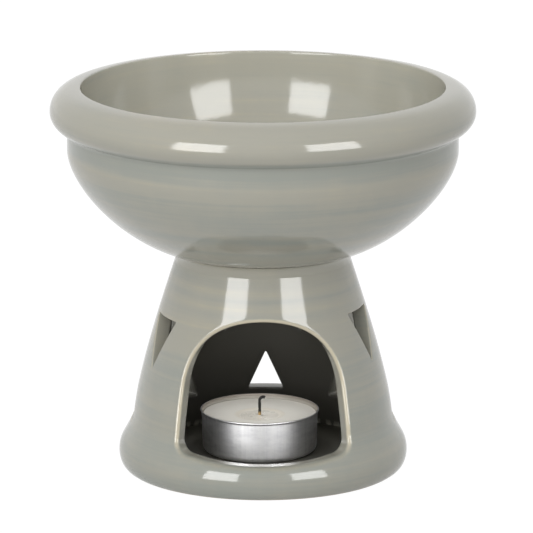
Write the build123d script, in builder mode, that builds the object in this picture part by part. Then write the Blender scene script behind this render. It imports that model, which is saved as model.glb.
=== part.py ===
from build123d import *
import os
from math import acos, atan, atan2, cos, degrees, hypot, radians, sin, tan

# Ceramic oil burner: a bowl luted to a hollow stand, with a tealight on the stand's floor.
# Millimetres. The table is z = 0, the axis is Z and the arch faces -Y.

# Foot and floor of the stand
base_radius = 43.5  # outer edge of the flat ring that meets the table
recess_depth = 1.2  # hollow under the base disc
disc_thickness = 3.3
disc_ledge = 1.15  # width of the ledge that carries the base disc
disc_clearance = 0.1
foot_flare = 3.2  # how far the widest part of the foot stands out over the ring
foot_belly_height = 5.5  # height of the widest part
foot_round = 9.5  # radius of the foot's shoulder
crease_step = 4.5  # how far the line where the foot meets the cone lies in from the widest part
crease_height = 16.0
crease_fillet = 4.0

# Cone of the stand
stand_height = 69.6
waist_radius = 28.0  # outside of the cone at its top
cone_swell_inset = 1.45  # point that the swelling side is drawn towards, in from the crease
cone_swell_height = 31.3
stand_wall = 4.8

# Arch at the front, cut with sides that splay outwards
arch_half_angle = 40.8  # degrees either side of the front, where the sides meet the outer wall
arch_splay = 31.0  # degrees that each side of the cut turns away from straight ahead
arch_crown = 14.2  # wall left over the arch
arch_spring = 33.0  # height where the straight sides start to close
sill_height = 10.5  # at the middle of the sill
sill_rise = 1.5  # how much higher the sill is at its ends
sill_share = 0.655  # how much of the arch's width the sill takes between its rounded corners
sill_corner_height = 6.0  # height of the rounded lower corners

# Triangular vents, a point-down row over a point-up row
vent_post_angle = 28.2  # degrees from the side of the arch to the middle of the first upper vent
upper_vent_width = 15.4
upper_vent_height = 16.8
upper_vent_drop = 15.9  # wall left over the upper vents
upper_vent_pairs = 3
lower_vent_width = 11.5
lower_vent_height = 13.2
lower_vent_base = 15.0
lower_vent_pairs = 2
vent_corner = 0.9
left_vent_drop = 1.75  # the vents are cut by hand: how far the upper one left of the arch is too low
right_vent_lift = 0.85  # and the one right of it too high
back_vent_turn = 1.4  # degrees that the lower vent at the back is off the middle
back_vent_lift = 0.7

# Slip seam between the stand and the bowl
seam_height = 2.25

# Bowl, with heights above its own flat underside
bowl_foot_flare = 1.0  # how far the bowl's foot stands out over the cone's top
bowl_wall = 5.0  # at the floor and at the foot of the hollow
belly_radius = 62.75
belly_height = 32.95  # where the belly's curve runs into the upright band under the rim
underside_lean = 14.2  # degrees, where the underside leaves the flat
underside_reach = 18.0  # how far that slope pulls the curve
belly_reach = 10.1  # how far the upright band pulls the curve
band_height = 6.5  # upright band between the belly and the rim
neck_fillet = 1.2  # in the groove between band and rim
rim_overhang = 5.45  # how far the rolled rim stands out over the band
rim_width = 7.7  # from the crest of the rim out to its widest
rim_rise = 7.9  # from the widest up to the crest
rim_tuck = 6.2  # how deep the underside of the rim would be, if it curved on under the crest
lip_width = 2.6  # inner edge of the rim, in from the crest
lip_drop = 5.5  # and down, to where it would be upright
hollow_lean = 4.5  # degrees that the hollow's side leans in under the lip
lip_reach = 15.9  # how far that side pulls the hollow's curve
hollow_foot_lean = 19.4  # degrees, where the hollow leaves its flat floor
hollow_reach = 23.7  # how far that slope pulls the curve

# Tealight
candle_offset_x = -1.1
candle_offset_y = 1.2
cup_radius = 18.95  # outside of the cup under its bead
cup_height = 13.65
cup_taper = 0.45  # how much narrower the cup is near its bottom
cup_corner = 2.6
cup_wall = 0.3
bead_radius = 0.4
wax_clearance = 0.3  # gap between wax and cup
wax_drop = 1.5  # wax edge below the rim
wax_dish = 0.5  # how far the wax dips towards its middle
pool_radius = 7.5
pool_depth = 0.4
wick_radius = 0.5
wick_stem = 5.0  # straight wick above the wax
wick_hook = 1.2  # radius of its bent top
wick_hook_angle = 118.0
wick_clearance = 0.05
tab_radius = 6.5
tab_thickness = 0.25
tab_neck_wall = 0.6
tab_neck_height = 3.0

# Places that follow from the sizes
floor_top = recess_depth + disc_thickness
foot_radius = base_radius + foot_flare
crease_radius = foot_radius - crease_step
cone_swell_radius = crease_radius - cone_swell_inset
arch_top = stand_height - arch_crown
upper_vent_top = stand_height - upper_vent_drop
first_vent_angle = arch_half_angle + vent_post_angle
vent_pitch = (180 - first_vent_angle) / (upper_vent_pairs - 0.5)  # degrees between vents in a row
bowl_base = stand_height + seam_height
bowl_foot_radius = waist_radius + bowl_foot_flare
arch_side_height = (sill_height + arch_spring) / 2
chamber_start = stand_wall  # the cutters begin inside the chamber, close to the axis
cutter_end = 1.5 * foot_radius  # and end well outside the foot

os.makedirs("parts", exist_ok=True)


# Stand: a revolved wall with a ledge for the base disc, then the arch and the vents
foot_centre = (foot_radius - foot_round, foot_belly_height)
crease_run = crease_radius - foot_centre[0]
crease_rise = crease_height - foot_centre[1]
shoulder_angle = degrees(atan2(crease_rise, crease_run) - acos(foot_round / hypot(crease_run, crease_rise)))
shoulder = (
    foot_centre[0] + foot_round * cos(radians(shoulder_angle)),
    foot_centre[1] + foot_round * sin(radians(shoulder_angle)),
)
cone_lean = (crease_radius - cone_swell_radius) / (cone_swell_height - crease_height)
floor_radius = crease_radius - stand_wall + cone_lean * (crease_height - floor_top)
ring_inside = floor_radius - disc_ledge
chamber_top_radius = waist_radius - stand_wall
arch_side_radius = crease_radius - cone_lean * (arch_side_height - crease_height)
arch_side_width = arch_side_radius * sin(radians(arch_half_angle))
arch_side_distance = arch_side_radius * cos(radians(arch_half_angle))


def arch_edge(distance):
    half_width = arch_side_width + (distance - arch_side_distance) * tan(radians(arch_splay))
    sill_half = half_width * sill_share
    sill_end = sill_height + sill_rise
    corner_top = sill_end + sill_corner_height
    corner_width = half_width - sill_half
    EllipticalCenterArc((0, arch_spring), half_width, arch_top - arch_spring, 0, arc_size=180)
    Line((-half_width, arch_spring), (-half_width, corner_top))
    EllipticalCenterArc((-sill_half, corner_top), corner_width, sill_corner_height, 180, arc_size=90)
    ThreePointArc((-sill_half, sill_end), (0, sill_height), (sill_half, sill_end))
    EllipticalCenterArc((sill_half, corner_top), corner_width, sill_corner_height, 270, arc_size=90)
    Line((half_width, corner_top), (half_width, arch_spring))


def vent_triangle(width, flat_height, point_height):
    Polygon((-width / 2, flat_height), (width / 2, flat_height), (0, point_height), align=None)


def vent_plane(angle):
    turn = radians(angle)
    facing_out = Plane((0, 0, 0), x_dir=(cos(turn), sin(turn), 0), z_dir=(sin(turn), -cos(turn), 0))
    return facing_out.offset(chamber_start)


with BuildPart() as stand:
    with BuildSketch(Plane.XZ) as stand_section:
        with BuildLine():
            Polyline(
                (floor_radius, floor_top),
                (floor_radius, recess_depth),
                (ring_inside, recess_depth),
                (ring_inside, 0),
                (base_radius, 0),
            )
            EllipticalCenterArc(
                (base_radius, foot_belly_height), foot_flare, foot_belly_height, 270, arc_size=90
            )
            CenterArc(foot_centre, foot_round, 0, shoulder_angle)
            Line(shoulder, (crease_radius, crease_height))
            Bezier(
                (crease_radius, crease_height),
                (cone_swell_radius, cone_swell_height),
                (waist_radius, stand_height),
            )
            Line((waist_radius, stand_height), (chamber_top_radius, stand_height))
            Bezier(
                (chamber_top_radius, stand_height),
                (cone_swell_radius - stand_wall, cone_swell_height),
                (floor_radius, floor_top),
            )
        make_face()
        fillet(stand_section.vertices().sort_by_distance((crease_radius, crease_height))[0], crease_fillet)
    revolve(axis=Axis.Z)

    for distance in (chamber_start, cutter_end):
        with BuildSketch(Plane.XZ.offset(distance)):
            with BuildLine():
                arch_edge(distance)
            make_face()
    loft(ruled=True, mode=Mode.SUBTRACT)

    for pair in range(upper_vent_pairs):
        for side, front_shift in ((-1, right_vent_lift), (1, -left_vent_drop)):
            vent_top = upper_vent_top
            if pair == upper_vent_pairs - 1:
                vent_top += front_shift
            with BuildSketch(vent_plane(180 + side * vent_pitch * (pair + 0.5))) as upper_vent:
                vent_triangle(upper_vent_width, vent_top, vent_top - upper_vent_height)
                fillet(upper_vent.vertices(), vent_corner)
            extrude(amount=cutter_end, mode=Mode.SUBTRACT)

    for step in range(-lower_vent_pairs, lower_vent_pairs + 1):
        vent_angle = 180 + vent_pitch * step
        vent_base = lower_vent_base
        if step == 0:
            vent_angle -= back_vent_turn
            vent_base += back_vent_lift
        with BuildSketch(vent_plane(vent_angle)) as lower_vent:
            vent_triangle(lower_vent_width, vent_base, vent_base + lower_vent_height)
            fillet(lower_vent.vertices(), vent_corner)
        extrude(amount=cutter_end, mode=Mode.SUBTRACT)

stand.part.label = "stand"
export_step(stand.part, "parts/stand.step")


# Base disc: the slab that closes the stand and carries the tealight
with BuildPart() as base_disc:
    with BuildSketch(Plane.XY.offset(recess_depth)):
        Circle(floor_radius - disc_clearance)
    extrude(amount=disc_thickness)

base_disc.part.label = "base_disc"
export_step(base_disc.part, "parts/base_disc.step")


# Slip seam: a ring whose flat faces meet the stand below and the bowl above, hollowed on its outside
with BuildPart() as slip_seam:
    with BuildSketch(Plane.XZ):
        with BuildLine():
            Polyline(
                (waist_radius, stand_height),
                (chamber_top_radius, stand_height),
                (chamber_top_radius, bowl_base),
                (bowl_foot_radius, bowl_base),
            )
            Bezier(
                (bowl_foot_radius, bowl_base),
                (waist_radius, stand_height + seam_height / 2),
                (waist_radius, stand_height),
            )
        make_face()
    revolve(axis=Axis.Z)

slip_seam.part.label = "slip_seam"
export_step(slip_seam.part, "parts/slip_seam.step")


# Bowl: a curved wall that ends in a rolled rim
belly_z = bowl_base + belly_height
neck_z = belly_z + band_height
rim_centre = belly_radius + rim_overhang - rim_width
neck_angle = degrees(acos((belly_radius - rim_centre) / rim_width))
rim_z = neck_z + rim_tuck * sin(radians(neck_angle))
rim_top = rim_z + rim_rise
lip_z = rim_top - lip_drop
lip_short = degrees(atan(tan(radians(hollow_lean)) * lip_drop / lip_width))  # left off, to end along the side
lip_end = (
    rim_centre - lip_width * cos(radians(lip_short)),
    lip_z + lip_drop * sin(radians(lip_short)),
)
bowl_floor = bowl_base + bowl_wall
hollow_foot_radius = bowl_foot_radius - bowl_wall * tan(radians(underside_lean / 2))
lip_pull = (
    lip_end[0] - lip_reach * sin(radians(hollow_lean)),
    lip_end[1] - lip_reach * cos(radians(hollow_lean)),
)


def up_the_slope(radius, height, lean, reach):
    return (radius + reach * cos(radians(lean)), height + reach * sin(radians(lean)))


with BuildPart() as bowl:
    with BuildSketch(Plane.XZ) as bowl_section:
        with BuildLine():
            Polyline(
                (hollow_foot_radius, bowl_floor),
                (0, bowl_floor),
                (0, bowl_base),
                (bowl_foot_radius, bowl_base),
            )
            Bezier(
                (bowl_foot_radius, bowl_base),
                up_the_slope(bowl_foot_radius, bowl_base, underside_lean, underside_reach),
                (belly_radius, belly_z - belly_reach),
                (belly_radius, belly_z),
            )
            Line((belly_radius, belly_z), (belly_radius, neck_z))
            EllipticalCenterArc((rim_centre, rim_z), rim_width, rim_tuck, -neck_angle, arc_size=neck_angle)
            EllipticalCenterArc((rim_centre, rim_z), rim_width, rim_rise, 0, arc_size=90)
            EllipticalCenterArc((rim_centre, lip_z), lip_width, lip_drop, 90, arc_size=90 - lip_short)
            Bezier(
                lip_end,
                lip_pull,
                up_the_slope(hollow_foot_radius, bowl_floor, hollow_foot_lean, hollow_reach),
                (hollow_foot_radius, bowl_floor),
            )
        make_face()
        fillet(bowl_section.vertices().sort_by_distance((belly_radius, neck_z))[0], neck_fillet)
    revolve(axis=Axis.Z)

bowl.part.label = "bowl"
export_step(bowl.part, "parts/bowl.step")


# Tealight, drawn with heights above the stand's floor
candle_plane = Plane((candle_offset_x, candle_offset_y, floor_top), x_dir=(1, 0, 0), z_dir=(0, -1, 0))
candle_axis = Axis((candle_offset_x, candle_offset_y, 0), (0, 0, 1))
cup_low_radius = cup_radius - cup_taper
cup_flat = cup_low_radius - cup_corner
bead_height = cup_height - bead_radius

with BuildPart() as candle_cup:
    with BuildSketch(candle_plane):
        with BuildLine():
            Line((0, 0), (cup_flat, 0))
            CenterArc((cup_flat, cup_corner), cup_corner, 270, 90)
            Polyline(
                (cup_low_radius, cup_corner),
                (cup_radius, bead_height),
                (cup_radius - cup_wall, bead_height),
                (cup_low_radius - cup_wall, cup_corner),
            )
            CenterArc((cup_flat, cup_corner), cup_corner - cup_wall, 0, -90)
            Polyline((cup_flat, cup_wall), (0, cup_wall), (0, 0))
        make_face()
        with Locations((cup_radius, bead_height)):
            Circle(bead_radius)
    revolve(axis=candle_axis)

candle_cup.part.label = "candle_cup"
export_step(candle_cup.part, "parts/candle_cup.step")


# Wick tab: a disc on the cup's floor, with a neck around the wick
tab_top = cup_wall + tab_thickness
neck_top = tab_top + tab_neck_height
neck_bore = wick_radius + wick_clearance
neck_outside = neck_bore + tab_neck_wall

with BuildPart() as wick_tab:
    with BuildSketch(candle_plane):
        with BuildLine():
            Polyline(
                (0, cup_wall),
                (tab_radius, cup_wall),
                (tab_radius, tab_top),
                (neck_outside, tab_top),
                (neck_outside, neck_top),
                (neck_bore, neck_top),
                (neck_bore, tab_top),
                (0, tab_top),
                close=True,
            )
        make_face()
    revolve(axis=candle_axis)

wick_tab.part.label = "wick_tab"
export_step(wick_tab.part, "parts/wick_tab.step")


# Wax: fills the cup round the tab and the wick, with a dished top and a melt pool
wax_edge_height = cup_height - wax_drop
wax_low_radius = cup_low_radius - cup_wall - wax_clearance
wax_radius = wax_low_radius + cup_taper * (wax_edge_height - cup_corner) / (bead_height - cup_corner)
wax_corner = cup_corner + wax_clearance
wax_flat = wax_low_radius - wax_corner
pool_edge_height = wax_edge_height - wax_dish
wax_middle = pool_edge_height - pool_depth
wick_hole = wick_radius + wick_clearance

with BuildPart() as candle_wax:
    with BuildSketch(candle_plane):
        with BuildLine():
            Polyline(
                (wick_hole, wax_middle),
                (wick_hole, neck_top + wick_clearance),
                (neck_outside + wick_clearance, neck_top + wick_clearance),
                (neck_outside + wick_clearance, tab_top + wick_clearance),
                (tab_radius + wick_clearance, tab_top + wick_clearance),
                (tab_radius + wick_clearance, cup_wall),
                (wax_flat, cup_wall),
            )
            CenterArc((wax_flat, cup_wall + wax_corner), wax_corner, 270, 90)
            Line((wax_low_radius, cup_wall + wax_corner), (wax_radius, wax_edge_height))
            Bezier(
                (wax_radius, wax_edge_height),
                ((wax_radius + pool_radius) / 2, pool_edge_height),
                (pool_radius, pool_edge_height),
            )
            Bezier((pool_radius, pool_edge_height), (pool_radius / 2, wax_middle), (wick_hole, wax_middle))
        make_face()
    revolve(axis=candle_axis)

candle_wax.part.label = "candle_wax"
export_step(candle_wax.part, "parts/candle_wax.step")


# Wick: stands in the tab's neck and hooks over at its burnt end
wick_bend = wax_middle + wick_stem

with BuildPart() as wick:
    with BuildLine(candle_plane):
        Line((0, tab_top), (0, wick_bend))
        CenterArc((wick_hook, wick_bend), wick_hook, 180, -wick_hook_angle)
    with BuildSketch(Plane((candle_offset_x, candle_offset_y, floor_top + tab_top))):
        Circle(wick_radius)
    sweep()

wick.part.label = "wick"
export_step(wick.part, "parts/wick.step")
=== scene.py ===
import bisect
from math import acos, asin, atan, atan2, cos, degrees, dist, hypot, pi, radians, sin, sqrt, tan, tau

import bmesh
import bpy
import numpy as np
from mathutils import Euler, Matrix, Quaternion, Vector
from mathutils.geometry import delaunay_2d_cdt


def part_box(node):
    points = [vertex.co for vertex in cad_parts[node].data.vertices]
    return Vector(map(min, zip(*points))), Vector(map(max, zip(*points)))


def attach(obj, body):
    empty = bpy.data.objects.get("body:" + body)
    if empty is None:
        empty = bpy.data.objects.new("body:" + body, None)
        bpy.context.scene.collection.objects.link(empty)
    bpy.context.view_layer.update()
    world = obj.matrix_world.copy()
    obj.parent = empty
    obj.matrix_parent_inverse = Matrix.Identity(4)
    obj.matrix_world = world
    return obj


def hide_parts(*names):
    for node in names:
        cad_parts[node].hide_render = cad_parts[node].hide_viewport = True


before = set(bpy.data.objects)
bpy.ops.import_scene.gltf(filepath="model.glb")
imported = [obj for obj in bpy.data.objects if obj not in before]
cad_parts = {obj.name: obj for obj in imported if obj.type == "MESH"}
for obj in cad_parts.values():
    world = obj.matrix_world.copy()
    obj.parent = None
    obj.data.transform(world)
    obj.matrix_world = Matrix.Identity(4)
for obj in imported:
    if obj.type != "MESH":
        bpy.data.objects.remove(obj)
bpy.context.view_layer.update()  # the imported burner: metres, Z up, arch towards -Y
mm = 0.001  # sizes below are in millimetres unless a note says otherwise
print("frame loaded:", ", ".join(sorted(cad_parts)))


def bothWays(operation):  # an operator with the socket on its left, and on its right
    return (lambda self, other: self.maths(operation, self, other),
            lambda self, other: self.maths(operation, other, self))


class Wire:  # a socket in a node tree: sums on it add Math nodes
    def __init__(self, tree, socket=None):
        self.tree = tree
        self.socket = socket

    def node(self, kind, inputs=None, settings=None, output=0):
        made = self.tree.nodes.new(kind)
        for name, value in (settings or {}).items():
            setattr(made, name, value)
        for key, value in (inputs or {}).items():
            if isinstance(value, Wire):
                self.tree.links.new(value.socket, made.inputs[key])
            else:
                made.inputs[key].default_value = value
        return Wire(self.tree, made.outputs[output] if len(made.outputs) else None)

    def also(self, output):  # another output of the same node
        return Wire(self.tree, self.socket.node.outputs[output])

    def maths(self, operation, first, second=0.0):
        return self.node("ShaderNodeMath", {0: first, 1: second}, {"operation": operation})

    __add__, __radd__ = bothWays("ADD")
    __sub__, __rsub__ = bothWays("SUBTRACT")
    __mul__, __rmul__ = bothWays("MULTIPLY")
    __truediv__, __rtruediv__ = bothWays("DIVIDE")
    __pow__, __rpow__ = bothWays("POWER")

    def sine(self):
        return self.maths("SINE", self)

    def fade(self, low, high):  # smooth step from 0 at low to 1 at high
        settings = {"interpolation_type": "SMOOTHSTEP"}
        return self.node("ShaderNodeMapRange", {0: self, 1: low, 2: high}, settings)

    def between(self, low, high, gone):  # up to 1 at high, and back to 0 at gone
        return self.fade(low, high) * (1 - self.fade(high, gone))

    def mix(self, first, second):  # two colours, by this factor
        return self.node("ShaderNodeMix", {0: self, 6: first, 7: second}, {"data_type": "RGBA"}, 2)

    def parts(self):
        split = self.node("ShaderNodeSeparateXYZ", {0: self})
        return split, split.also(1), split.also(2)

    def vector(self, operation, other):
        key = "Scale" if operation == "SCALE" else 1
        return self.node("ShaderNodeVectorMath", {0: self, key: other}, {"operation": operation})

    def noise(self, scale, detail=2.0, rough=0.5):
        values = {"Vector": self, "Scale": scale, "Detail": detail, "Roughness": rough}
        if isinstance(scale, tuple):  # stretched along the axes
            values.update({"Vector": self.vector("MULTIPLY", scale), "Scale": 1.0})
        return self.node("ShaderNodeTexNoise", values)

    def moved(self, offset):  # geometry, with its points shifted
        return self.node("GeometryNodeSetPosition", {"Geometry": self, "Offset": offset})

    def bump(self, strength, depth):  # a normal from this height, whose depth is in millimetres
        values = {"Strength": strength, "Distance": depth * mm, "Height": self}
        return self.node("ShaderNodeBump", values)


def sRgb(*levels):  # screen colour, 0 to 255, as the linear colour that nodes take
    shares = [level / 255 for level in levels]
    return (*(x / 12.92 if x <= 0.04045 else ((x + 0.055) / 1.055) ** 2.4 for x in shares), 1.0)


def emptied(owner):  # the node tree of a material or world, without its first nodes
    owner.use_nodes = True
    owner.node_tree.nodes.clear()
    return Wire(owner.node_tree)


def newMaterial(name):
    material = bpy.data.materials.new(name)
    return material, emptied(material)


def closeMaterial(wire, settings):  # the shader and its output
    shader = wire.node("ShaderNodeBsdfPrincipled", settings)
    wire.node("ShaderNodeOutputMaterial", {"Surface": shader})


# Section outlines: lists of (radius, height)
def arc(centre, radius, start, end, steps):
    across, up = radius if isinstance(radius, tuple) else (radius, radius)
    turns = [radians(start + (end - start) * step / steps) for step in range(steps + 1)]
    return [(centre[0] + across * cos(turn), centre[1] + up * sin(turn)) for turn in turns]


def bezier(controls, steps):
    points = []
    for step in range(steps + 1):
        level = [Vector(point) for point in controls]
        while len(level) > 1:
            level = [a.lerp(b, step / steps) for a, b in zip(level, level[1:])]
        points.append((level[0].x, level[0].y))
    return points


def straight(first, last, steps):
    return bezier([first, last], steps)


def joined(*runs):  # runs end to end, without doubled points
    points = list(runs[0])
    for run in runs[1:]:
        points += run[1:] if dist(points[-1], run[0]) < 1e-6 else run
    return points


def straights(points, steps):  # straight runs from point to point
    return joined(*(straight(*run) for run in zip(points, points[1:], steps)))


def softened(points, corner, reach, steps=6):  # a corner becomes a curve of that reach
    middle = min(range(len(points)), key=lambda i: dist(points[i], corner))
    low, high = middle, middle
    while dist(points[low], corner) < reach:
        low -= 1
    while dist(points[high], corner) < reach:
        high += 1
    return joined(points[:low], bezier([points[low], corner, points[high]], steps), points[high + 1:])


# Geometry Nodes
def newTree(name, inputs):  # each input has a default value, or names a kind that has none
    tree = bpy.data.node_groups.new(name, "GeometryNodeTree")
    kinds = {float: "Float", int: "Int", tuple: "Vector"}
    for label, value in inputs.items():
        kind = kinds.get(type(value), value)
        item = tree.interface.new_socket(label, in_out="INPUT", socket_type="NodeSocket" + kind)
        if kind != value:
            item.default_value = value
    tree.interface.new_socket("Geometry", in_out="OUTPUT", socket_type="NodeSocketGeometry")
    first = Wire(tree).node("NodeGroupInput")
    return tree, {label: first.also(label) for label in inputs}


def closeTree(geometry, material):  # smooth, real mesh with its material
    smooth = geometry.node("GeometryNodeSetShadeSmooth", {"Geometry": geometry})
    real = geometry.node("GeometryNodeRealizeInstances", {"Geometry": smooth})
    done = geometry.node("GeometryNodeSetMaterial", {"Geometry": real, "Material": material})
    geometry.node("NodeGroupOutput", {0: done})


thrownInputs = {
    "Ring Depth": 0.0,  # half the height of the throwing rings, in metres
    "Ring Pitch": 0.005,
    "Ring Low": 0.0,  # where the rings fade in
    "Ring High": 0.0,  # where they are full
    "Ring Gone": 1.0,  # where they have faded out again
    "Wobble Depth": 0.0,
    "Wobble Scale": 40.0,
    "Seed": 1.0,
    "Material": "Material",
}


def ringWave(place, height, pitch):  # finger rings, which sway a little on their way round
    sway = (place.noise(9.0, 1.0) - 0.5) * 2.6
    return (height / pitch * tau + sway).sine()


def thrown(geometry, given):  # finger rings and the slight wobble of a hand-thrown wall
    place = geometry.node("GeometryNodeInputPosition")
    across, along, height = place.parts()
    facing = geometry.node("GeometryNodeInputNormal")
    outward = facing.parts()
    radius = (across * across + along * along) ** 0.5 + 1e-6
    lean = (outward[0] * across + outward[1] * along) / radius  # 1 on the outside, -1 in the hollow
    window = height.between(given["Ring Low"], given["Ring High"], given["Ring Gone"])
    rings = ringWave(place, height, given["Ring Pitch"]) * given["Ring Depth"]
    rings = rings * window * lean.fade(0.3, 0.7)
    shift = geometry.node("ShaderNodeCombineXYZ", {0: given["Seed"], 1: given["Seed"] * 1.7})
    wobble = place.vector("ADD", shift).noise(given["Wobble Scale"], 1.0)
    wobble = (wobble - 0.75) * given["Wobble Depth"]
    wobble = geometry.maths("MINIMUM", wobble, 0.0)  # inwards only, so that no piece outgrows its CAD size
    push = facing.vector("SCALE", rings + wobble)
    return geometry.moved(push)


def makeLatheTree():  # turns the outline in the object's own mesh about an upright axis
    tree, given = newTree("lathe", {
        "Outline": "Geometry",
        "Segments": 192,
        "Flutes": 0,
        "Flute Depth": 0.0,
        "Axis": (0, 0, 0),
        **thrownInputs,
    })
    outline = given["Outline"]
    rows = outline.node("GeometryNodeAttributeDomainSize", {"Geometry": outline})
    sizes = {"Size X": 1.0, "Size Y": 1.0, "Vertices X": given["Segments"] + 1, "Vertices Y": rows}
    grid = outline.node("GeometryNodeMeshGrid", sizes)
    place = outline.node("GeometryNodeInputPosition")
    turn, climb, flat = place.parts()
    row = outline.maths("ROUND", (climb + 0.5) * (rows - 1))
    settings = {"data_type": "FLOAT_VECTOR", "domain": "POINT"}
    values = {"Geometry": outline, "Value": place, "Index": row}
    point = outline.node("GeometryNodeSampleIndex", values, settings)
    radius, depth, height = point.parts()
    angle = (turn + 0.5) * tau
    radius = radius + (angle * given["Flutes"]).sine() * given["Flute Depth"] * radius.fade(0.012, 0.018)
    spun = outline.node("ShaderNodeCombineXYZ", {
        0: radius * outline.maths("COSINE", angle),
        1: radius * angle.sine(),
        2: height,
    })
    turned = outline.node("GeometryNodeSetPosition", {"Geometry": grid, "Position": spun})
    closed = outline.node("GeometryNodeMergeByDistance", {"Geometry": turned, "Distance": 1e-7})
    closeTree(thrown(closed, given).moved(given["Axis"]), given["Material"])
    return tree


def makeThrownTree():  # the same rings and wobble on a mesh that is built another way
    tree, given = newTree("thrown wall", {"Wall": "Geometry", **thrownInputs})
    closeTree(thrown(given["Wall"], given), given["Material"])
    return tree


def makeWickTree():  # twisted strands round a bent line
    tree, given = newTree("wick strands", {
        "Line": "Geometry",
        "Radius": 0.0006,
        "Strands": 3,
        "Strand Depth": 0.0001,
        "Twists": 5.0,
        "Material": "Material",
    })
    line = given["Line"]
    curve = line.node("GeometryNodeMeshToCurve", {0: line})
    along = line.node("GeometryNodeSplineParameter")
    sizes = {"Resolution": 24, "Radius": given["Radius"]}
    circle = line.node("GeometryNodeCurvePrimitiveCircle", sizes)
    settings = {"data_type": "FLOAT"}

    def marked(shape, name):  # keeps how far along its curve each point lies
        values = {"Geometry": shape, "Name": name, "Value": along}
        return line.node("GeometryNodeStoreNamedAttribute", values, settings)

    def read(name):
        return line.node("GeometryNodeInputNamedAttribute", {"Name": name}, settings)

    tube = line.node("GeometryNodeCurveToMesh", {
        "Curve": marked(curve, "wickAlong"),
        "Profile Curve": marked(circle, "wickRound"),
        "Fill Caps": True,
    })
    phase = read("wickRound") * given["Strands"] + read("wickAlong") * given["Twists"]
    strands = line.maths("ABSOLUTE", (phase * pi).sine())  # rounded, with narrow grooves between them
    push = line.node("GeometryNodeInputNormal").vector("SCALE", (strands - 1.0) * given["Strand Depth"])
    closeTree(tube.moved(push), given["Material"])
    return tree


def placed(name, data):  # a new object in the scene
    made = bpy.data.objects.new(name, data)
    bpy.context.scene.collection.objects.link(made)
    return made


def settle(source, tree, values, name):  # runs a tree on an object and keeps the plain mesh
    modifier = source.modifiers.new(tree.name, "NODES")
    modifier.node_group = tree
    for item in tree.interface.items_tree:
        if item.in_out == "INPUT" and item.name in values:
            modifier[item.identifier] = values[item.name]
    graph = bpy.context.evaluated_depsgraph_get()
    mesh = bpy.data.meshes.new_from_object(source.evaluated_get(graph))
    source.modifiers.remove(modifier)
    bpy.data.objects.remove(source)
    mesh.name = name
    return placed(name, mesh)


def meshObject(name, points, edges=(), faces=()):
    mesh = bpy.data.meshes.new(name)
    mesh.from_pydata(points, edges, faces)
    mesh.update()
    return placed(name, mesh)


def outlineObject(name, outline, start=(0, 0, 0)):
    points = [(start[0] + across * mm, start[1], start[2] + height * mm) for across, height in outline]
    return meshObject(name, points, [(i, i + 1) for i in range(len(points) - 1)])


def keepValues(mesh, name, values):  # one number for every point
    mesh.attributes.new(name, "FLOAT", "POINT").data.foreach_set("value", values)


def cadSize(node):  # base, top and radius of a CAD node, in millimetres
    low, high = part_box(node)
    return low.z / mm, high.z / mm, high.x / mm


def finishPiece(piece, body, slot, *nodes):
    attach(piece, body)
    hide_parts(*nodes)
    print("made", piece.name, "with", len(piece.data.polygons), "faces")


# Glaze: sage grey that pools bluish in hollows and breaks beige on edges
glazeLook = {
    "sage": sRgb(166, 164, 152),
    "pooled": sRgb(155, 158, 150),
    "thin": sRgb(182, 174, 152),
    "edge": sRgb(208, 199, 175),
    "speck": sRgb(226, 222, 208),
    # painted shade: the dark colour laid inside the stand's chamber and on the holes' cut faces, where shade
    # falls
    "soot": sRgb(82, 80, 73),
    "clay": sRgb(205, 194, 172),
    "gloss": 0.09,  # roughness of the clean glaze
}


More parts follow.
